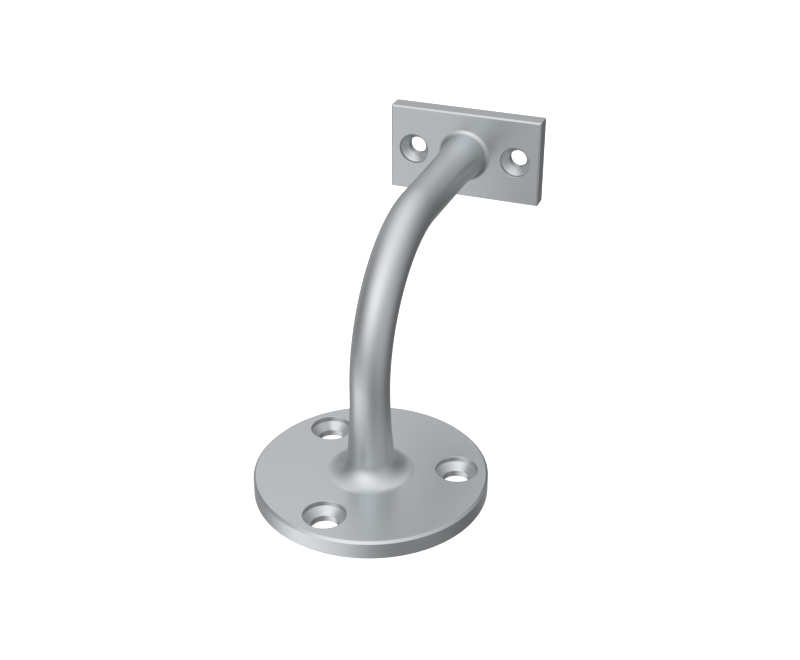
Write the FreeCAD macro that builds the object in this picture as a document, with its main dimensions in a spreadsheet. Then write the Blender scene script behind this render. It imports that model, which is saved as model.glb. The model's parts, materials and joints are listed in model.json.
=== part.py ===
import FreeCAD, Part
import math
import os

import Sketcher
from FreeCAD import Placement, Rotation, Vector

# Handrail bracket, one solid casting.
#
# Frame: +Z stands square out of the wall, with Z = 0 on the wall face. The origin is the centre of
# the round wall plate. The arm leaves the wall plate along +Z, turns through a quarter circle in
# the YZ plane and meets the saddle plate along +Y. The saddle plate stands across +Y with its long
# side along X, and its face at the greatest Y carries the rail.

# alias, value in millimetres (degrees for an angle), meaning
SIZES = [
    ("wall_plate_diameter", 70.0, "outside diameter of the round wall plate"),
    ("wall_plate_thickness", 5.6, "wall plate, face to face"),
    ("wall_plate_bevel", 0.7, "bevel round the wall plate's front edge"),
    ("wall_screw_circle", 51.2, "diameter of the circle through the wall screw holes"),
    ("wall_screw_count", 3, "number of wall screw holes"),
    ("wall_screw_angle", 20.6, "direction of the first wall screw hole, from +X towards +Y"),
    ("wall_head_diameter", 12.6, "recess for the head of a wall screw"),
    ("wall_head_step", 1.6, "straight wall of that recess, above its cone"),
    ("wall_hole_diameter", 8.4, "clearance hole for a wall screw"),
    ("saddle_length", 50.6, "saddle plate, along the rail"),
    ("saddle_width", 28.5, "saddle plate, across the rail"),
    ("saddle_thickness", 6.0, "saddle plate, face to face"),
    ("saddle_bevel", 0.5, "bevel round the arm side of the saddle plate"),
    ("saddle_screw_spacing", 34.6, "distance between the two rail screw holes"),
    ("saddle_head_diameter", 10.0, "recess for the head of a rail screw"),
    ("saddle_head_step", 1.4, "straight wall of that recess, above its cone"),
    ("saddle_hole_diameter", 5.8, "clearance hole for a rail screw"),
    ("countersink_angle", 90.0, "full angle of the cone under a screw head"),
    ("projection", 74.4, "wall face to the middle of the saddle plate"),
    ("rail_offset", 89.7, "centre of the wall plate to the rail face of the saddle plate"),
    ("arm_foot_diameter", 11.6, "tapered round arm, at the wall plate without its flare"),
    ("arm_neck_diameter", 12.9, "tapered round arm, at the saddle plate without its flare"),
    ("arm_bend_radius", 40.5, "bend of the arm, on its centre line"),
    ("foot_flare_length", 28.0, "stretch over which the arm swells towards the wall plate"),
    ("foot_flare_swell", 1.95, "how far the arm's surface swells out by the wall plate"),
    ("foot_fillet", 6.6, "fillet where the flare runs into the wall plate"),
    ("neck_flare_length", 17.0, "stretch over which the arm swells towards the saddle plate"),
    ("neck_flare_swell", 1.2, "how far the arm's surface swells out by the saddle plate"),
    ("neck_fillet", 1.6, "fillet where the flare runs into the saddle plate"),
    ("cutter_overrun", 1.0, "how far a screw hole's cutter passes each face"),
]

NODE = "handrail_bracket"
TOLERANCE = 1e-4  # for telling which edge of a solid is meant
NECK_END = "sizes.rail_offset - sizes.saddle_thickness"  # Y of the saddle's arm side

doc = FreeCAD.newDocument("bracket")
sheet = doc.addObject("Spreadsheet::Sheet", "sizes")
for row, (alias, value, meaning) in enumerate(SIZES, start=1):
    sheet.set(f"A{row}", alias)
    sheet.set(f"B{row}", str(value))
    sheet.setAlias(f"B{row}", alias)
    sheet.set(f"C{row}", meaning)
doc.recompute()


def size(alias):
    """Value of a driving dimension."""
    return float(getattr(sheet, alias))


def origin_part(role):
    """A plane or axis of the body's own origin."""
    return next(part for part in body.Origin.OriginFeatures if part.Role == role)


def sketch_on(plane, name):
    """An empty sketch on one of the body's origin planes."""
    sketch = body.newObject("Sketcher::SketchObject", name)
    sketch.AttachmentSupport = [(origin_part(plane), "")]
    sketch.MapMode = "FlatFace"
    return sketch


def constrain(sketch, name, expression, *constraint):
    """Adds a dimension to a sketch and ties it to the sheet."""
    index = sketch.addConstraint(Sketcher.Constraint(*constraint))
    sketch.renameConstraint(index, name)
    sketch.setExpression(f"Constraints.{name}", expression)


def circle(sketch, diameter):
    """A circle about the sketch's origin."""
    sketch.addGeometry(Part.Circle(Vector(), Vector(0, 0, 1), 1.0))
    sketch.addConstraint(Sketcher.Constraint("Coincident", 0, 3, -1, 1))
    constrain(sketch, "diameter", diameter, "Diameter", 0, 2.0)


def polygon(sketch, corners):
    """A closed outline. Each corner is a pair of expressions, counted anticlockwise."""
    count = len(corners)
    turn = 2 * math.pi / count
    rough = [Vector(math.cos(turn * step), math.sin(turn * step)) for step in range(count)]
    for step in range(count):
        sketch.addGeometry(Part.LineSegment(rough[step], rough[(step + 1) % count]))
    for step in range(count):
        sketch.addConstraint(Sketcher.Constraint("Coincident", step, 2, (step + 1) % count, 1))
    for step, (across, up) in enumerate(corners):
        constrain(sketch, f"across_{step}", across, "DistanceX", -1, 1, step, 1, rough[step].x)
        constrain(sketch, f"up_{step}", up, "DistanceY", -1, 1, step, 1, rough[step].y)


def finish(feature, adds):
    """Recomputes and stops the build if a feature failed or changed the solid the wrong way."""
    before = body.Shape.Volume if body.Shape.Solids else 0.0
    body.Tip = feature
    doc.recompute()
    if {"Invalid", "Error"} & set(feature.State) or not feature.Shape.isValid():
        raise RuntimeError(f"{feature.Label} failed: {feature.State}")
    change = body.Shape.Volume - before
    if (change > 0) != adds:
        raise RuntimeError(f"{feature.Label} changed the volume by {change:.2f} mm3")


def round_edges(shape, radius, centre):
    """Names of a shape's circular edges with this radius and centre."""
    return [
        f"Edge{number}"
        for number, edge in enumerate(shape.Edges, start=1)
        if isinstance(edge.Curve, Part.Circle)
        and abs(edge.Curve.Radius - radius) < TOLERANCE
        and edge.Curve.Center.distanceToPoint(centre) < TOLERANCE
    ]


def straight_edges_at(shape, depth):
    """Names of a shape's straight edges that lie wholly at Y = depth."""
    return [
        f"Edge{number}"
        for number, edge in enumerate(shape.Edges, start=1)
        if isinstance(edge.Curve, Part.Line)
        and all(abs(vertex.Y - depth) < TOLERANCE for vertex in edge.Vertexes)
    ]


def dress(kind, name, edges, dimension, alias):
    """A fillet or chamfer on edges of the tip, with its dimension tied to the sheet."""
    if not edges:
        raise RuntimeError(f"{name} found no edge")
    base = body.Tip
    feature = body.newObject(kind, name)
    feature.Base = (base, edges)
    feature.setExpression(dimension, f"sizes.{alias}")
    finish(feature, adds=kind == "PartDesign::Fillet")


body = doc.addObject("PartDesign::Body", "bracket_body")
body.Label = NODE


def make_wall_plate():
    """Round plate that lies on the wall, with a bevelled front edge."""
    section = sketch_on("XZ_Plane", "wall_plate_section")
    radius = "sizes.wall_plate_diameter / 2"
    thickness = "sizes.wall_plate_thickness"
    bevel = "sizes.wall_plate_bevel"
    polygon(
        section,
        [
            ("0", "0"),
            (radius, "0"),
            (radius, f"{thickness} - {bevel}"),
            (f"{radius} - {bevel}", thickness),
            ("0", thickness),
        ],
    )
    plate = body.newObject("PartDesign::Revolution", "wall_plate")
    plate.Profile = section
    plate.ReferenceAxis = (origin_part("Z_Axis"), [""])
    plate.Angle = 360.0
    finish(plate, adds=True)


def make_arm():
    """Tapered round bar: straight out of the wall plate, a quarter bend, straight into the saddle."""
    foot = sketch_on("XY_Plane", "arm_foot_section")
    circle(foot, "sizes.arm_foot_diameter")
    neck = sketch_on("XZ_Plane", "arm_neck_section")
    neck.setExpression("AttachmentOffset.Base.y", "sizes.projection")
    neck.setExpression("AttachmentOffset.Base.z", f"-({NECK_END})")
    circle(neck, "sizes.arm_neck_diameter")

    bend = size("arm_bend_radius")
    height = size("projection")
    reach = size("rail_offset") - size("saddle_thickness")
    path = sketch_on("YZ_Plane", "arm_path")
    path.addGeometry(Part.LineSegment(Vector(), Vector(0, height - bend)))
    bend_centre = Vector(bend, height - bend)
    quarter = Part.Circle(bend_centre, Vector(0, 0, 1), bend)
    path.addGeometry(Part.ArcOfCircle(quarter, math.pi / 2, math.pi))
    path.addGeometry(Part.LineSegment(Vector(bend, height), Vector(reach, height)))
    path.addConstraint(Sketcher.Constraint("Coincident", 0, 1, -1, 1))
    path.addConstraint(Sketcher.Constraint("Vertical", 0))
    path.addConstraint(Sketcher.Constraint("Tangent", 0, 2, 1, 2))
    path.addConstraint(Sketcher.Constraint("Tangent", 1, 1, 2, 1))
    path.addConstraint(Sketcher.Constraint("Horizontal", 2))
    constrain(path, "bend", "sizes.arm_bend_radius", "Radius", 1, bend)
    constrain(path, "height", "sizes.projection", "DistanceY", -1, 1, 2, 2, height)
    constrain(path, "reach", NECK_END, "DistanceX", -1, 1, 2, 2, reach)

    arm = body.newObject("PartDesign::AdditivePipe", "arm")
    arm.Profile = foot
    arm.Spine = (path, ["Edge1", "Edge2", "Edge3"])
    arm.Transformation = "Multisection"
    arm.Sections = [(neck, [""])]
    finish(arm, adds=True)


def make_flare(name, plane, corners, rough):
    """Swelling of the arm towards a plate, turned about the arm's centre line.

    Corners are pairs of expressions: on the centre line and on the surface at the plate, then on
    the surface and on the centre line where the flare ends. The surface is a shallow arc that
    leaves the arm smoothly. Rough is where the corners start from before they are constrained.
    """
    section = sketch_on(plane, f"{name}_section")
    section.addGeometry(Part.LineSegment(rough[0], rough[1]))
    halfway = (rough[0] - rough[3]) / 2
    swell = (rough[1] - rough[0]) - (rough[2] - rough[3])
    middle = rough[2] + halfway + swell / 4
    section.addGeometry(Part.Arc(rough[2], middle, rough[1]))
    section.addGeometry(Part.LineSegment(rough[2], rough[3]))
    section.addGeometry(Part.LineSegment(rough[3], rough[0]))
    section.addConstraint(Sketcher.Constraint("Coincident", 0, 2, 1, 2))
    section.addConstraint(Sketcher.Constraint("Coincident", 1, 1, 2, 1))
    section.addConstraint(Sketcher.Constraint("Coincident", 2, 2, 3, 1))
    section.addConstraint(Sketcher.Constraint("Coincident", 3, 2, 0, 1))
    section.addConstraint(Sketcher.Constraint("PointOnObject", 1, 3, 2))
    points = [(0, 1), (0, 2), (2, 1), (3, 1)]
    for step, ((across, up), point, spot) in enumerate(zip(corners, points, rough)):
        constrain(section, f"across_{step}", across, "DistanceX", -1, 1, *point, spot.x)
        constrain(section, f"up_{step}", up, "DistanceY", -1, 1, *point, spot.y)
    doc.recompute()
    flare = body.newObject("PartDesign::Revolution", name)
    flare.Profile = section
    flare.ReferenceAxis = (section, ["Edge4"])
    flare.Angle = 360.0
    finish(flare, adds=True)


def make_flares():
    """Both ends of the arm swell gently before they meet their plates."""
    foot = "sizes.arm_foot_diameter / 2"
    neck = "sizes.arm_neck_diameter / 2"
    bend = "sizes.arm_bend_radius"
    straights = f"sizes.projection - {bend} + {NECK_END} - {bend}"
    taper = f"({neck} - {foot}) / ({straights} + {bend} * pi / 2)"
    top = "sizes.wall_plate_thickness"
    length = "sizes.foot_flare_length"
    make_flare(
        "foot_flare",
        "XZ_Plane",
        [
            ("0", top),
            (f"{foot} + sizes.foot_flare_swell", top),
            (f"{foot} + {taper} * {length}", f"{top} + {length}"),
            ("0", f"{top} + {length}"),
        ],
        [Vector(0, 5), Vector(8, 5), Vector(6, 33), Vector(0, 33)],
    )
    axis = "sizes.projection"
    length = "sizes.neck_flare_length"
    make_flare(
        "neck_flare",
        "YZ_Plane",
        [
            (NECK_END, axis),
            (NECK_END, f"{axis} + {neck} + sizes.neck_flare_swell"),
            (f"{NECK_END} - {length}", f"{axis} + {neck} - {taper} * {length}"),
            (f"{NECK_END} - {length}", axis),
        ],
        [Vector(84, 74), Vector(84, 81), Vector(59, 80), Vector(59, 74)],
    )


def make_saddle():
    """Flat plate across the end of the arm. The rail is screwed to its far face."""
    outline = sketch_on("XZ_Plane", "saddle_outline")
    outline.setExpression("AttachmentOffset.Base.z", "-sizes.rail_offset")
    half_length = "sizes.saddle_length / 2"
    low = "sizes.projection - sizes.saddle_width / 2"
    high = "sizes.projection + sizes.saddle_width / 2"
    polygon(
        outline,
        [
            (f"-{half_length}", low),
            (half_length, low),
            (half_length, high),
            (f"-{half_length}", high),
        ],
    )
    saddle = body.newObject("PartDesign::Pad", "saddle")
    saddle.Profile = outline
    saddle.setExpression("Length", "sizes.saddle_thickness")
    finish(saddle, adds=True)


def soften_edges():
    """Bevels the arm side of the saddle and fillets both ends of the arm."""
    near_face = size("rail_offset") - size("saddle_thickness")
    rim = straight_edges_at(body.Tip.Shape, near_face)
    dress("PartDesign::Chamfer", "saddle_bevel", rim, "Size", "saddle_bevel")

    foot_radius = size("arm_foot_diameter") / 2 + size("foot_flare_swell")
    foot_centre = Vector(0, 0, size("wall_plate_thickness"))
    foot = round_edges(body.Tip.Shape, foot_radius, foot_centre)
    dress("PartDesign::Fillet", "foot_fillet", foot, "Radius", "foot_fillet")

    neck_centre = Vector(0, near_face, size("projection"))
    neck_radius = size("arm_neck_diameter") / 2 + size("neck_flare_swell")
    neck = round_edges(body.Tip.Shape, neck_radius, neck_centre)
    dress("PartDesign::Fillet", "neck_fillet", neck, "Radius", "neck_fillet")


def recess_corners(axis, head, hole, step, front, back, outward):
    """Half section of a screw hole: through hole, cone and straight-walled head recess.

    axis is the distance of the hole's centre line from the sketch's upright axis, front and back
    are the faces that the hole opens through, and outward is the sign from back to front.
    """
    opposite = "-" if outward == "+" else "+"
    overrun = "sizes.cutter_overrun"
    cone = f"({head} - {hole}) / 2 / tan(sizes.countersink_angle / 2 * 1deg)"
    cone_top = f"{front} {opposite} {step}"
    corners = [
        (axis, f"{back} {opposite} {overrun}"),
        (f"{axis} + {hole} / 2", f"{back} {opposite} {overrun}"),
        (f"{axis} + {hole} / 2", f"{cone_top} {opposite} {cone}"),
        (f"{axis} + {head} / 2", cone_top),
        (f"{axis} + {head} / 2", f"{front} {outward} {overrun}"),
        (axis, f"{front} {outward} {overrun}"),
    ]
    return corners if outward == "+" else corners[::-1]


def make_wall_holes():
    """Screw holes spaced evenly round the wall plate, with their heads on the arm side."""
    section = sketch_on("XZ_Plane", "wall_hole_section")
    section.AttachmentOffset = Placement(Vector(), Rotation(Vector(0, 1, 0), 1.0))
    section.setExpression("AttachmentOffset.Rotation.Angle", "sizes.wall_screw_angle")
    polygon(
        section,
        recess_corners(
            axis="sizes.wall_screw_circle / 2",
            head="sizes.wall_head_diameter",
            hole="sizes.wall_hole_diameter",
            step="sizes.wall_head_step",
            front="sizes.wall_plate_thickness",
            back="0",
            outward="+",
        ),
    )
    hole = body.newObject("PartDesign::Groove", "wall_hole")
    hole.Profile = section
    hole.ReferenceAxis = (section, ["Edge6"])
    hole.Angle = 360.0
    finish(hole, adds=False)

    holes = body.newObject("PartDesign::PolarPattern", "wall_holes")
    holes.Originals = [hole]
    holes.Axis = (origin_part("Z_Axis"), [""])
    holes.Angle = 360.0
    holes.setExpression("Occurrences", "sizes.wall_screw_count")
    finish(holes, adds=False)


def make_saddle_holes():
    """Screw holes at both ends of the saddle, with their heads on the arm side."""
    section = sketch_on("XY_Plane", "saddle_hole_section")
    section.setExpression("AttachmentOffset.Base.z", "sizes.projection")
    polygon(
        section,
        recess_corners(
            axis="sizes.saddle_screw_spacing / 2",
            head="sizes.saddle_head_diameter",
            hole="sizes.saddle_hole_diameter",
            step="sizes.saddle_head_step",
            front="sizes.rail_offset - sizes.saddle_thickness",
            back="sizes.rail_offset",
            outward="-",
        ),
    )
    hole = body.newObject("PartDesign::Groove", "saddle_hole")
    hole.Profile = section
    hole.ReferenceAxis = (section, ["Edge6"])
    hole.Angle = 360.0
    finish(hole, adds=False)

    holes = body.newObject("PartDesign::Mirrored", "saddle_holes")
    holes.Originals = [hole]
    holes.MirrorPlane = (origin_part("YZ_Plane"), [""])
    finish(holes, adds=False)


make_wall_plate()
make_arm()
make_flares()
make_saddle()
soften_edges()
make_wall_holes()
make_saddle_holes()

for thing in doc.Objects:
    if {"Invalid", "Error"} & set(thing.State):
        raise RuntimeError(f"{thing.Label} is in state {thing.State}")
if body.Shape.isNull() or not body.Shape.isValid() or len(body.Shape.Solids) != 1:
    raise RuntimeError(f"{NODE} isn't one valid solid")

os.makedirs("parts", exist_ok=True)
body.Shape.exportStep(f"parts/{NODE}.step")
box = body.Shape.optimalBoundingBox()
print(f"{NODE}: {body.Shape.Volume:.1f} mm3, {box.XLength:.2f} x {box.YLength:.2f} x {box.ZLength:.2f} mm")
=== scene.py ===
"""Handrail bracket: one satin silver casting with a round wall plate, a bent arm and a flat rail plate."""

import json
import math

import bpy
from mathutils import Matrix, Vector


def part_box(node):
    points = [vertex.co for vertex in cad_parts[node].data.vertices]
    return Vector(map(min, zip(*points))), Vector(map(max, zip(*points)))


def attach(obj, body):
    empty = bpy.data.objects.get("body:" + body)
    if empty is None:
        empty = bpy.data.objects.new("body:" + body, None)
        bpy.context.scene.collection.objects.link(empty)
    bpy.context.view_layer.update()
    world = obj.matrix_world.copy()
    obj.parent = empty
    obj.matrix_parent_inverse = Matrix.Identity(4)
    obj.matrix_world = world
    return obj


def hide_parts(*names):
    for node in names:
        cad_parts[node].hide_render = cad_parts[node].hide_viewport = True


bl_info = {
    "name": "Handrail bracket",
    "version": (1, 0, 0),
    "blender": (4, 5, 0),
    "location": "3D View > Sidebar > Bracket",
    "description": "Builds a satin metal handrail bracket and its studio stage",
    "category": "Add Mesh",
}

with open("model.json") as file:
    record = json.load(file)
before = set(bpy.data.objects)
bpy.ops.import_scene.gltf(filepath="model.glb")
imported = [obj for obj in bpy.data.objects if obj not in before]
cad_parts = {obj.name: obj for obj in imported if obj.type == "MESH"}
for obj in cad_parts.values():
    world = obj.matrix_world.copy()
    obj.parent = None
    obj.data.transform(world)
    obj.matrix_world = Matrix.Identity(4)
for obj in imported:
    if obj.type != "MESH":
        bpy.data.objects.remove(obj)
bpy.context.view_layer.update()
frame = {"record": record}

NODE = "handrail_bracket"
BODY = "root"
MM = 0.001

NODE_LOW, NODE_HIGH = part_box(NODE)
MOUNTS = {mount["name"]: mount for mount in frame["record"]["mounts"]}
WALL_SCREWS = MOUNTS["wall_screws"]["dims"]
RAIL_SCREWS = MOUNTS["rail_screws"]["dims"]
RAIL_CENTRE = MOUNTS["rail_face"]["pos_m"]

QUARTER_TURN = math.pi / 2
SMOOTH_ANGLE = math.radians(30.0)  # a fold sharper than this stays a crisp edge
SINK = 0.02 * MM  # how far the arm's ends reach into the plates, so that they join
OVERRUN = 1.0 * MM  # how far a screw hole's cutter passes each face
MERGE_DISTANCE = 0.001 * MM  # corners nearer to each other than this become one

# how finely round shapes are stepped
PLATE_SIDES = 192
ARM_SIDES = 96
ARM_RINGS = 400
BEND_STEPS = 90
WALL_HOLE_SIDES = 96
RAIL_HOLE_SIDES = 80
CORNER_STEPS = 3


# ---------------------------------------------------------------------------------------------
# Node graphs written as expressions


class Wire:
    """An output socket that takes part in arithmetic and leads on to other nodes."""

    def __init__(self, graph, socket):
        self.graph = graph
        self.socket = socket

    def out(self, name):
        """Another output of the same node."""
        return Wire(self.graph, self.socket.node.outputs[name])

    def maths(self, operation, *values):
        return self.graph.add("ShaderNodeMath", {"operation": operation}, dict(enumerate(values)))

    def __add__(self, other):
        return self.maths("ADD", self, other)

    __radd__ = __add__

    def __sub__(self, other):
        return self.maths("SUBTRACT", self, other)

    def __rsub__(self, other):
        return self.maths("SUBTRACT", other, self)

    def __mul__(self, other):
        return self.maths("MULTIPLY", self, other)

    __rmul__ = __mul__

    def __truediv__(self, other):
        return self.maths("DIVIDE", self, other)

    def __neg__(self):
        return self.maths("MULTIPLY", self, -1.0)

    def __gt__(self, other):
        return self.maths("GREATER_THAN", self, other)

    def least(self, other):
        return self.maths("MINIMUM", self, other)

    def sine(self):
        return self.maths("SINE", self)

    def cosine(self):
        return self.maths("COSINE", self)

    def exponential(self):
        return self.maths("EXPONENT", self)


class Graph:
    """A node tree that is built by calls."""

    def __init__(self, tree):
        self.tree = tree
        tree.nodes.clear()

    def add(self, kind, settings=None, sockets=None):
        """Adds a node, sets its properties first and then feeds its sockets."""
        node = self.tree.nodes.new(kind)
        for name, value in (settings or {}).items():
            setattr(node, name, value)
        for key, value in (sockets or {}).items():
            self.feed(node.inputs[key], value)
        return Wire(self, node.outputs[0]) if node.outputs else node

    def feed(self, socket, value):
        """Links a wire, or several into a socket that takes several, or sets a plain value."""
        if isinstance(value, Wire):
            self.tree.links.new(value.socket, socket)
        elif isinstance(value, list):
            for wire in value:
                self.tree.links.new(wire.socket, socket)
        else:
            socket.default_value = value

    def vector(self, x=0.0, y=0.0, z=0.0):
        return self.add("ShaderNodeCombineXYZ", None, {"X": x, "Y": y, "Z": z})

    def by_index(self, kind, values):
        """A field that holds one of the values at each point, by the point's number."""
        node = self.tree.nodes.new("GeometryNodeIndexSwitch")
        node.data_type = kind
        for _ in values[len(node.index_switch_items):]:
            node.index_switch_items.new()
        self.feed(node.inputs["Index"], self.add("GeometryNodeInputIndex"))
        for step, value in enumerate(values):
            self.feed(node.inputs[str(step)], value)
        return Wire(self, node.outputs[0])

    def polyline(self, points):
        """A curve of straight runs through points given as wires."""
        line = self.add("GeometryNodeMeshLine", {"mode": "OFFSET"}, {"Count": len(points)})
        placed = self.add(
            "GeometryNodeSetPosition", None,
            {"Geometry": line, "Position": self.by_index("VECTOR", points)},
        )
        return self.add("GeometryNodeMeshToCurve", None, {"Mesh": placed})

    def circle(self, radius, resolution):
        return self.add(
            "GeometryNodeCurvePrimitiveCircle", None, {"Radius": radius, "Resolution": resolution}
        )

    def sweep(self, path, scale, resolution):
        """A closed round solid along a path. Scale is its radius, point by point."""
        return self.add(
            "GeometryNodeCurveToMesh", None,
            {
                "Curve": path,
                "Profile Curve": self.circle(1.0, resolution),
                "Scale": scale,
                "Fill Caps": True,
            },
        )

    def turned(self, stations, resolution):
        """A solid turned about Z from (radius, height) pairs, lowest first."""
        path = self.polyline([self.vector(z=height) for _, height in stations])
        radii = self.by_index("FLOAT", [radius for radius, _ in stations])
        return self.sweep(path, radii, resolution)


# ---------------------------------------------------------------------------------------------
# What a user would change


def length(name, description, default):
    return bpy.props.FloatProperty(
        name=name, description=description, default=default, min=0.0, precision=4, unit="LENGTH"
    )


def own_properties(group):
    """The properties that a group declares itself, in order."""
    return [group.bl_rna.properties[name] for name in group.__annotations__]


class BracketSizes(bpy.types.PropertyGroup):
    plate_diameter: length(
        "Wall plate diameter", "Round plate that lies on the wall", NODE_HIGH.x - NODE_LOW.x)
    plate_thickness: length("Wall plate thickness", "Face to face", 5.6 * MM)
    plate_bevel: length("Wall plate bevel", "Bevel round the front edge", 0.7 * MM)
    screw_circle: length(
        "Wall screw circle", "Diameter of the circle through the wall screw holes",
        WALL_SCREWS["pcd_mm"] * MM)
    screw_count: bpy.props.IntProperty(
        name="Wall screws", description="Number of wall screw holes",
        default=WALL_SCREWS["count"], min=1)
    screw_angle: bpy.props.FloatProperty(
        name="Wall screw angle", description="Direction of the first wall screw hole",
        default=math.radians(20.6), subtype="ANGLE")
    screw_head: length("Wall screw head", "Diameter of the head recess", 12.6 * MM)
    screw_step: length("Wall screw step", "Straight wall of the head recess", 1.6 * MM)
    screw_hole: length(
        "Wall screw hole", "Diameter of the through hole", 2 * WALL_SCREWS["hole_r_mm"] * MM)
    rail_plate_length: length("Rail plate length", "Along the rail", 50.6 * MM)
    rail_plate_width: length("Rail plate width", "Across the rail", 28.5 * MM)
    rail_plate_thickness: length("Rail plate thickness", "Face to face", 6.0 * MM)
    rail_plate_bevel: length("Rail plate bevel", "Bevel round the arm side", 0.5 * MM)
    rail_screw_spacing: length(
        "Rail screw spacing", "Distance between the two rail screw holes",
        RAIL_SCREWS["spacing_x_mm"] * MM)
    rail_head: length("Rail screw head", "Diameter of the head recess", 10.0 * MM)
    rail_step: length("Rail screw step", "Straight wall of the head recess", 1.4 * MM)
    rail_hole: length(
        "Rail screw hole", "Diameter of the through hole", 2 * RAIL_SCREWS["hole_r_mm"] * MM)
    projection: length("Projection", "Wall to the middle of the rail plate", RAIL_CENTRE[2])
    rail_offset: length("Rail offset", "Wall plate's centre to the rail face", RAIL_CENTRE[1])
    foot_diameter: length("Arm at the foot", "Tapered arm without its flare", 11.6 * MM)
    neck_diameter: length("Arm at the neck", "Tapered arm without its flare", 12.9 * MM)
    bend_radius: length("Bend radius", "Bend of the arm, on its centre line", 40.5 * MM)
    foot_flare: length("Foot flare", "Stretch over which the arm swells to its foot", 28.0 * MM)
    foot_swell: length("Foot swell", "How far the arm's surface swells out there", 1.95 * MM)
    foot_fillet: length("Foot fillet", "Where the arm runs into the wall plate", 5.75 * MM)
    neck_flare: length("Neck flare", "Stretch over which the arm swells to its neck", 17.0 * MM)
    neck_swell: length("Neck swell", "How far the arm's surface swells out there", 1.2 * MM)
    neck_fillet: length("Neck fillet", "Where the arm runs into the rail plate", 1.4 * MM)
    soft_edge: length("Edge softening", "Narrow flat that takes the sharpness off an edge", 0.1 * MM)


class BracketFinish(bpy.types.PropertyGroup):
    colour: bpy.props.FloatVectorProperty(
        name="Metal colour", description="Colour of the satin metal",
        default=(0.60, 0.625, 0.64), min=0.0, max=1.0, size=3, subtype="COLOR")
    roughness: bpy.props.FloatProperty(
        name="Roughness", description="Average roughness of the satin finish",
        default=0.33, min=0.0, max=1.0, subtype="FACTOR")
    mottling: bpy.props.FloatProperty(
        name="Mottling", description="How much the roughness varies from place to place",
        default=0.05, min=0.0, max=1.0, subtype="FACTOR")
    grain_size: length("Grain size", "Width of one grain of the blasted surface", 0.35 * MM)
    grain_depth: length("Grain depth", "Height of the grain", 0.002 * MM)


class BracketStage(bpy.types.PropertyGroup):
    floor_colour: bpy.props.FloatVectorProperty(
        name="Floor colour", description="Pale floor and backdrop",
        default=(0.90, 0.90, 0.90), min=0.0, max=1.0, size=3, subtype="COLOR")
    floor_glow: bpy.props.FloatProperty(
        name="Floor glow", description="Evens out the light on the floor",
        default=0.75, min=0.0)
    floor_radius: length("Floor radius", "Flat part of the floor", 1.5)
    focal_length: bpy.props.FloatProperty(
        name="Focal length", description="Camera lens in millimetres", default=58.4, min=1.0)
    camera_place: bpy.props.FloatVectorProperty(
        name="Camera place", description="Where the camera stands",
        default=(0.1203, -0.2947, 0.2318), size=3, subtype="TRANSLATION", unit="LENGTH")
    camera_tilt: bpy.props.FloatProperty(
        name="Camera tilt", description="Tilt up from straight down",
        default=math.radians(60.7), subtype="ANGLE")
    camera_heading: bpy.props.FloatProperty(
        name="Camera heading", description="Turn about the upright axis",
        default=math.radians(20.64), subtype="ANGLE")


# ---------------------------------------------------------------------------------------------
# The casting


def screw_cutter(graph, head, step, hole, front, soft, resolution):
    """The hollow of a countersunk screw hole, along +Z, with its head at the height front."""
    cone = (head - hole) / 2.0  # as deep as it is wide, which makes a full angle of 90 degrees
    stations = [
        (hole / 2.0, -OVERRUN),
        (hole / 2.0, front - step - cone),
        (head / 2.0, front - step),
        (head / 2.0, front - soft),
        (head / 2.0 + soft, front),
        (head / 2.0 + soft + OVERRUN, front + OVERRUN),
    ]
    return graph.turned(stations, resolution)


def wall_plate(graph, size):
    """Round plate with a bevelled front edge and a softened edge on the wall side."""
    radius = size("plate_diameter") / 2.0
    soft = size("soft_edge")
    stations = [
        (radius - soft, 0.0),
        (radius, soft),
        (radius, size("plate_thickness") - size("plate_bevel")),
        (radius - size("plate_bevel"), size("plate_thickness")),
    ]
    return graph.turned(stations, PLATE_SIDES)


def rail_plate(graph, size):
    """Flat plate, bevelled on the arm side and softened elsewhere: the hull of four outlines."""
    soft = size("soft_edge")
    bevel = size("rail_plate_bevel")
    near = size("rail_offset") - size("rail_plate_thickness")
    layers = [
        (bevel, near),
        (0.0, near + bevel),
        (0.0, size("rail_offset") - soft),
        (soft, size("rail_offset")),
    ]
    outlines = []
    for inset, depth in layers:
        outline = graph.add(
            "GeometryNodeCurvePrimitiveQuadrilateral", {"mode": "RECTANGLE"},
            {"Width": size("rail_plate_length") - 2.0 * inset,
             "Height": size("rail_plate_width") - 2.0 * inset},
        )
        outline = graph.add(
            "GeometryNodeFilletCurve", {"mode": "POLY"},
            {"Curve": outline, "Radius": soft, "Count": CORNER_STEPS, "Limit Radius": True},
        )
        outlines.append(graph.add(
            "GeometryNodeTransform", None,
            {"Geometry": outline, "Rotation": (QUARTER_TURN, 0.0, 0.0),
             "Translation": graph.vector(y=depth, z=size("projection"))},
        ))
    joined = graph.add("GeometryNodeJoinGeometry", None, {"Geometry": outlines})
    return graph.add("GeometryNodeConvexHull", None, {"Geometry": joined})


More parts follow.
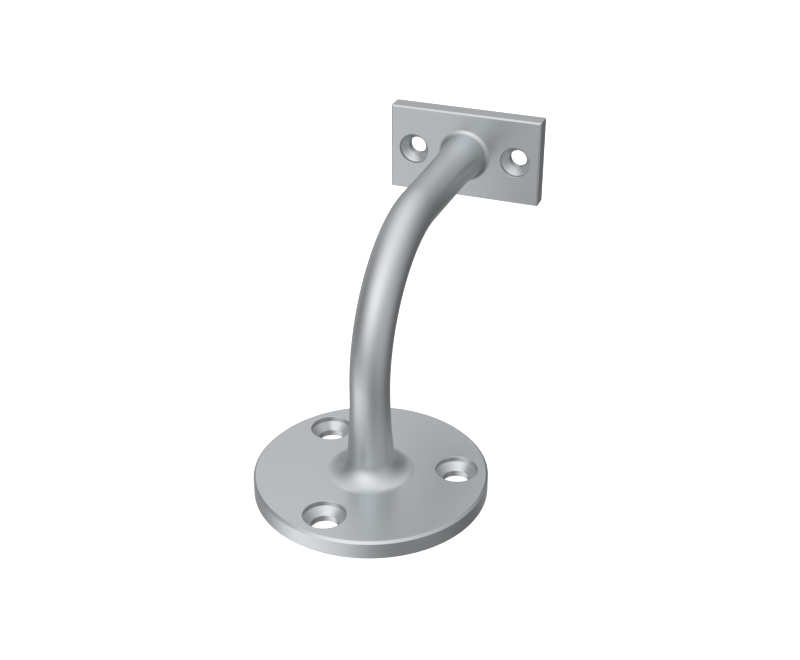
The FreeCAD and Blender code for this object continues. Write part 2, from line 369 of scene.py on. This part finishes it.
def arm(graph, size):
    """Tapered bar along a straight run, a quarter bend and a straight run, flared at both ends."""
    start = size("plate_thickness") - SINK
    end = size("rail_offset") - size("rail_plate_thickness") + SINK
    height = size("projection")
    corners = [graph.vector(z=start), graph.vector(z=height), graph.vector(y=end, z=height)]
    bend = graph.by_index("FLOAT", [0.0, size("bend_radius"), 0.0])
    route = graph.add(
        "GeometryNodeFilletCurve", {"mode": "POLY"},
        {"Curve": graph.polyline(corners), "Radius": bend, "Count": BEND_STEPS},
    )
    route = graph.add(
        "GeometryNodeResampleCurve", {"mode": "COUNT"}, {"Curve": route, "Count": ARM_RINGS}
    )
    total = graph.add("GeometryNodeCurveLength", None, {"Curve": route})
    gone = graph.add("GeometryNodeSplineParameter").out("Length")

    foot = size("foot_fillet")
    neck = size("neck_fillet")
    foot_turn = (gone / foot).least(1.0) * QUARTER_TURN
    neck_turn = ((total - gone) / neck).least(1.0) * QUARTER_TURN
    # rings crowd together towards the plates, where a fillet's outline turns quickest
    foot_shift = foot * (1.0 - foot_turn.cosine()) - gone.least(foot)
    neck_shift = (total - gone).least(neck) - neck * (1.0 - neck_turn.cosine())
    placed = gone + foot_shift + neck_shift
    taper = (size("neck_diameter") - size("foot_diameter")) / 2.0 / total
    radius = size("foot_diameter") / 2.0 + taper * placed
    for swell, away in (
        (size("foot_swell"), placed / size("foot_flare")),
        (size("neck_swell"), (total - placed) / size("neck_flare")),
    ):
        short = 1.0 - away.least(1.0)
        radius = radius + swell * short * short
    radius = radius + foot * (1.0 - foot_turn.sine()) + neck * (1.0 - neck_turn.sine())
    # the radius is stored before the rings move, because it is told from their first places
    stored = graph.add(
        "GeometryNodeStoreNamedAttribute", {"data_type": "FLOAT", "domain": "POINT"},
        {"Geometry": route, "Name": "arm_radius", "Value": radius},
    )
    moved = graph.add(
        "GeometryNodeSetPosition", None,
        {"Geometry": stored, "Offset": graph.vector(y=neck_shift, z=foot_shift)},
    )
    kept = graph.add(
        "GeometryNodeInputNamedAttribute", {"data_type": "FLOAT"}, {"Name": "arm_radius"}
    )
    swept = graph.sweep(moved, kept, ARM_SIDES)
    return graph.add("GeometryNodeRemoveAttribute", None, {"Geometry": swept, "Name": "arm_radius"})


def screw_holes(graph, size):
    """All the hollows: round the wall plate's screw circle, and at both ends of the rail plate."""
    soft = size("soft_edge")
    wall = screw_cutter(graph, size("screw_head"), size("screw_step"), size("screw_hole"),
                        size("plate_thickness"), soft, WALL_HOLE_SIDES)
    ring = graph.add(
        "GeometryNodeMeshCircle", None,
        {"Vertices": size("screw_count"), "Radius": size("screw_circle") / 2.0},
    )
    ring = graph.add(
        "GeometryNodeTransform", None,
        {"Geometry": ring, "Rotation": graph.vector(z=size("screw_angle"))},
    )
    wall_holes = graph.add("GeometryNodeInstanceOnPoints", None, {"Points": ring, "Instance": wall})

    rail = screw_cutter(graph, size("rail_head"), size("rail_step"), size("rail_hole"),
                        size("rail_plate_thickness"), soft, RAIL_HOLE_SIDES)
    spacing = size("rail_screw_spacing")
    first = graph.vector(x=-spacing / 2.0, y=size("rail_offset"), z=size("projection"))
    pair = graph.add(
        "GeometryNodeMeshLine", {"mode": "OFFSET"},
        {"Count": 2, "Offset": graph.vector(x=spacing), "Start Location": first},
    )
    rail_holes = graph.add(
        "GeometryNodeInstanceOnPoints", None,
        {"Points": pair, "Instance": rail, "Rotation": (QUARTER_TURN, 0.0, 0.0)},
    )
    joined = graph.add("GeometryNodeJoinGeometry", None, {"Geometry": [wall_holes, rail_holes]})
    return graph.add("GeometryNodeRealizeInstances", None, {"Geometry": joined})


def casting_tree(material):
    """The whole casting as one tree, with every size as a named input."""
    tree = bpy.data.node_groups.new("Bracket casting", "GeometryNodeTree")
    graph = Graph(tree)
    tree.interface.new_socket("Geometry", in_out="OUTPUT", socket_type="NodeSocketGeometry")
    kinds = {"FLOAT": "NodeSocketFloat", "INT": "NodeSocketInt"}
    for prop in own_properties(BracketSizes):
        tree.interface.new_socket(prop.name, in_out="INPUT", socket_type=kinds[prop.type])
    inputs = graph.add("NodeGroupInput")
    names = {prop.identifier: prop.name for prop in own_properties(BracketSizes)}

    def size(identifier):
        return inputs.out(names[identifier])

    solid = graph.add(
        "GeometryNodeMeshBoolean", {"operation": "UNION", "solver": "EXACT"},
        {"Mesh 2": [wall_plate(graph, size), arm(graph, size), rail_plate(graph, size)]},
    )
    solid = graph.add(
        "GeometryNodeMeshBoolean", {"operation": "DIFFERENCE", "solver": "EXACT"},
        {"Mesh 1": solid, "Mesh 2": [screw_holes(graph, size)]},
    )
    solid = graph.add("GeometryNodeRealizeInstances", None, {"Geometry": solid})
    solid = graph.add(
        "GeometryNodeMergeByDistance", None, {"Geometry": solid, "Distance": MERGE_DISTANCE}
    )
    folded = graph.add("GeometryNodeInputMeshEdgeAngle") > SMOOTH_ANGLE
    solid = graph.add("GeometryNodeSetShadeSmooth", {"domain": "FACE"}, {"Geometry": solid})
    solid = graph.add(
        "GeometryNodeSetShadeSmooth", {"domain": "EDGE"},
        {"Geometry": solid, "Selection": folded, "Shade Smooth": False},
    )
    solid = graph.add("GeometryNodeSetMaterial", None, {"Geometry": solid, "Material": material})
    graph.add("NodeGroupOutput", None, {"Geometry": solid})
    return tree


def plain_piece(name, source):
    """An object at the origin with a plain mesh: what the source object looks like evaluated."""
    depsgraph = bpy.context.evaluated_depsgraph_get()
    depsgraph.update()
    mesh = bpy.data.meshes.new_from_object(source.evaluated_get(depsgraph))
    mesh.name = name
    bpy.data.objects.remove(source)
    if not mesh.polygons:
        raise RuntimeError(f"{name} came out empty")
    piece = bpy.data.objects.new(name, mesh)
    bpy.context.scene.collection.objects.link(piece)
    return piece


class BRACKET_OT_casting(bpy.types.Operator):
    """Make the bracket: both plates, the arm between them and the screw holes"""

    bl_idname = "bracket.casting"
    bl_label = "Casting"

    def execute(self, context):
        sizes = context.scene.bracket_sizes
        tree = casting_tree(satin_metal(context.scene.bracket_finish))
        source = bpy.data.objects.new("casting_source", bpy.data.meshes.new("casting_source"))
        context.scene.collection.objects.link(source)
        modifier = source.modifiers.new("Casting", "NODES")
        modifier.node_group = tree
        values = {
            prop.name: getattr(sizes, prop.identifier) for prop in own_properties(BracketSizes)
        }
        for item in tree.interface.items_tree:
            if item.in_out == "INPUT":
                modifier[item.identifier] = values[item.name]
        flat_first = source.modifiers.new("Flat faces stay flat", "WEIGHTED_NORMAL")
        flat_first.keep_sharp = True
        piece = plain_piece("bracket_casting", source)
        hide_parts(NODE)
        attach(piece, BODY)
        return {"FINISHED"}


# ---------------------------------------------------------------------------------------------
# Materials

CLOUDS_PER_METRE = 90.0  # patches of the faint mottling
CLOUD_DETAIL = 3.0
GRAIN_DETAIL = 2.0
GRAIN_ROUGHNESS = 0.6
FLOOR_ROUGHNESS = 0.9


def satin_metal(finish):
    """Fine-blasted satin metal: even silver grey, a fine grain and faint mottling."""
    material = bpy.data.materials.new("Satin metal")
    material.use_nodes = True
    graph = Graph(material.node_tree)
    place = graph.add("ShaderNodeTexCoord").out("Object")

    clouds = graph.add(
        "ShaderNodeTexNoise", None,
        {"Vector": place, "Scale": CLOUDS_PER_METRE, "Detail": CLOUD_DETAIL},
    )
    grain = graph.add(
        "ShaderNodeTexNoise", None,
        {
            "Vector": place,
            "Scale": 1.0 / finish.grain_size,
            "Detail": GRAIN_DETAIL,
            "Roughness": GRAIN_ROUGHNESS,
        },
    )
    bump = graph.add(
        "ShaderNodeBump", None,
        {"Height": grain, "Distance": finish.grain_depth, "Strength": 1.0},
    )
    roughness = finish.roughness + finish.mottling * (clouds - 0.5)
    shader = graph.add(
        "ShaderNodeBsdfPrincipled", None,
        {
            "Base Color": (*finish.colour, 1.0),
            "Metallic": 1.0,
            "Roughness": roughness,
            "Normal": bump,
        },
    )
    graph.add("ShaderNodeOutputMaterial", None, {"Surface": shader})
    return material


def pale_floor(stage):
    """Matt floor with a little light of its own, so that it stays pale and even."""
    material = bpy.data.materials.new("Pale floor")
    material.use_nodes = True
    graph = Graph(material.node_tree)
    shader = graph.add(
        "ShaderNodeBsdfPrincipled", None,
        {
            "Base Color": (*stage.floor_colour, 1.0),
            "Roughness": FLOOR_ROUGHNESS,
            "Specular IOR Level": 0.0,
            "Emission Color": (*stage.floor_colour, 1.0),
            "Emission Strength": stage.floor_glow,
        },
    )
    graph.add("ShaderNodeOutputMaterial", None, {"Surface": shader})
    return material


# ---------------------------------------------------------------------------------------------
# Stage

# what a soft light is, its azimuth and elevation in degrees, how narrow it is, and its strength
LIGHTS = [
    ("card low on the left", 212.0, -40.0, 11.0, 1.4),
    ("card low in front", 258.0, -42.0, 10.0, 0.95),
    ("lamp in front", 260.0, 33.0, 4.2, 1.2),
    ("wall behind", 112.0, 50.0, 4.5, 0.68),
    ("card low behind", 103.0, -58.0, 10.0, 1.0),
    ("lamp overhead", 330.0, 78.0, 1.8, 1.08),
    ("card on the right", 345.0, -8.0, 4.0, 0.46),
    ("card behind on the left", 150.0, -11.0, 8.0, 0.45),
]
ROOM_LIGHT = 0.01

BOWL_SIDES = 96
BOWL_STEPS = 12  # from the flat floor to the upright backdrop
CLIP_START = 0.01
CLIP_END = 20.0


def direction(azimuth, elevation):
    """Unit vector. Azimuth turns from +X towards +Y, and elevation rises from the floor."""
    a = math.radians(azimuth)
    e = math.radians(elevation)
    return Vector((math.cos(a) * math.cos(e), math.sin(a) * math.cos(e), math.sin(e)))


def studio_world():
    """Even room light and a few large soft lights, each brightest at its middle."""
    world = bpy.data.worlds.new("Studio")
    world.use_nodes = True
    graph = Graph(world.node_tree)
    looking = graph.add("ShaderNodeTexCoord").out("Generated")
    light = ROOM_LIGHT
    for name, azimuth, elevation, narrowness, strength in LIGHTS:
        towards = graph.add(
            "ShaderNodeVectorMath", {"operation": "DOT_PRODUCT", "label": name},
            {0: looking, 1: direction(azimuth, elevation)},
        ).out("Value")
        light = light + strength * (narrowness * (towards - 1.0)).exponential()
    background = graph.add("ShaderNodeBackground", None, {"Strength": light})
    graph.add("ShaderNodeOutputWorld", None, {"Surface": background})
    return world


def studio_bowl(stage):
    """Flat floor that turns up into a backdrop all the way round."""
    radius = stage.floor_radius
    mesh = bpy.data.meshes.new("studio_bowl")
    points = [(0.0, 0.0, 0.0)]
    for rise in range(BOWL_STEPS + 1):
        slope = QUARTER_TURN * rise / BOWL_STEPS
        reach = radius * (1 + math.sin(slope))
        height = radius * (1 - math.cos(slope))
        for step in range(BOWL_SIDES):
            turn = 2 * math.pi * step / BOWL_SIDES
            points.append((reach * math.cos(turn), reach * math.sin(turn), height))
    # a fan round the first point makes the middle, and rings of four-sided faces make the rest
    faces = [(0, 1 + step, 1 + (step + 1) % BOWL_SIDES) for step in range(BOWL_SIDES)]
    for ring in range(BOWL_STEPS):
        low = 1 + ring * BOWL_SIDES
        high = low + BOWL_SIDES
        for step in range(BOWL_SIDES):
            ahead = (step + 1) % BOWL_SIDES
            faces.append((low + step, high + step, high + ahead, low + ahead))
    mesh.from_pydata(points, [], faces)
    mesh.shade_smooth()
    mesh.materials.append(pale_floor(stage))
    bowl = bpy.data.objects.new("studio_bowl", mesh)
    bpy.context.scene.collection.objects.link(bowl)
    return bowl


class BRACKET_OT_stage(bpy.types.Operator):
    """Make the pale studio floor, the soft light and the camera"""

    bl_idname = "bracket.stage"
    bl_label = "Stage"

    def execute(self, context):
        scene = context.scene
        stage = scene.bracket_stage
        bowl = studio_bowl(stage)
        # the floor shows white beside the metal but isn't mirrored in it and blocks no light
        bowl.visible_glossy = False
        bowl.visible_diffuse = False
        bowl.visible_shadow = False
        scene.world = studio_world()
        scene.view_settings.view_transform = "Standard"

        lens = bpy.data.cameras.new("camera")
        lens.lens = stage.focal_length
        lens.clip_start = CLIP_START
        lens.clip_end = CLIP_END
        camera = bpy.data.objects.new("camera", lens)
        camera.location = stage.camera_place
        camera.rotation_euler = (stage.camera_tilt, 0.0, stage.camera_heading)
        scene.collection.objects.link(camera)
        scene.camera = camera
        return {"FINISHED"}


class BRACKET_PT_sidebar(bpy.types.Panel):
    """Sizes and finish of the bracket, and the buttons that make it"""

    bl_idname = "BRACKET_PT_sidebar"
    bl_label = "Handrail bracket"
    bl_space_type = "VIEW_3D"
    bl_region_type = "UI"
    bl_category = "Bracket"

    def draw(self, context):
        for group in (context.scene.bracket_sizes, context.scene.bracket_finish,
                      context.scene.bracket_stage):
            box = self.layout.box()
            for prop in own_properties(type(group)):
                box.prop(group, prop.identifier)
        for operator in (BRACKET_OT_casting, BRACKET_OT_stage):
            self.layout.operator(operator.bl_idname)


CLASSES = (BracketSizes, BracketFinish, BracketStage, BRACKET_OT_casting, BRACKET_OT_stage,
           BRACKET_PT_sidebar)
GROUPS = {"bracket_sizes": BracketSizes, "bracket_finish": BracketFinish,
          "bracket_stage": BracketStage}


def register():
    for each in CLASSES:
        bpy.utils.register_class(each)
    for name, group in GROUPS.items():
        setattr(bpy.types.Scene, name, bpy.props.PointerProperty(type=group))


def unregister():
    for name in GROUPS:
        delattr(bpy.types.Scene, name)
    for each in reversed(CLASSES):
        bpy.utils.unregister_class(each)


def main():
    register()
    bpy.ops.bracket.casting()
    bpy.ops.bracket.stage()


if __name__ == "__main__":
    main()
